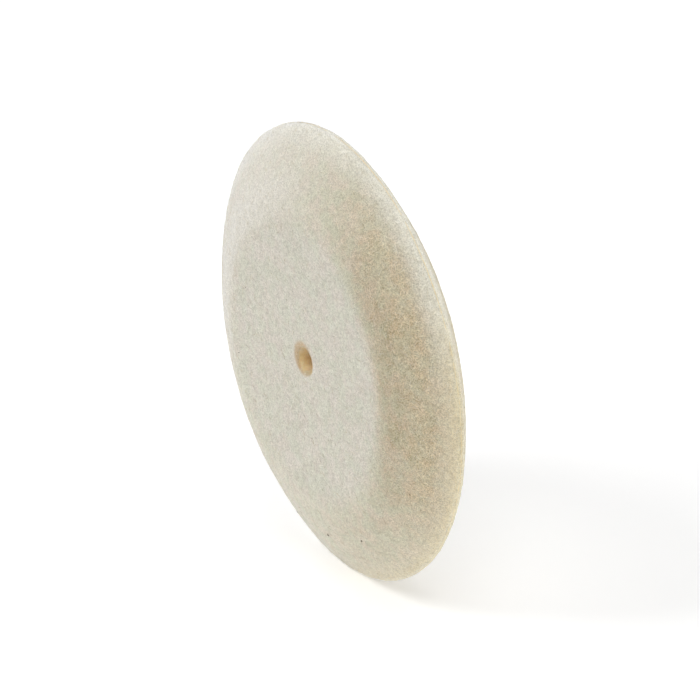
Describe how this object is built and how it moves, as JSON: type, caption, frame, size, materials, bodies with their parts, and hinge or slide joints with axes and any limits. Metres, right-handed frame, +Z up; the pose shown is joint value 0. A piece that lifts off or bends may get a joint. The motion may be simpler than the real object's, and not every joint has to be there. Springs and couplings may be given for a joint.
{
  "type": "felt polishing wheel",
  "caption": "Disc of pressed wool felt, bevelled on both faces to a blunt knife edge, with a small central bore for a polishing spindle.",
  "frame": {"origin": "the wheel's centre, on the bore's axis and in the mid-plane where the two plies are bonded", "axes": "the bore runs along Y, which the wheel spins about; the front face looks along -Y; +Z is up"},
  "size_m": [0.1016, 0.019, 0.1016],
  "materials": {
    "felt": "matte",
    "adhesive": "satin"
  },
  "bodies": {
    "root": {"front_felt_ply": "felt", "back_felt_ply": "felt", "bond_film": "adhesive"}
  },
  "joints": []
}
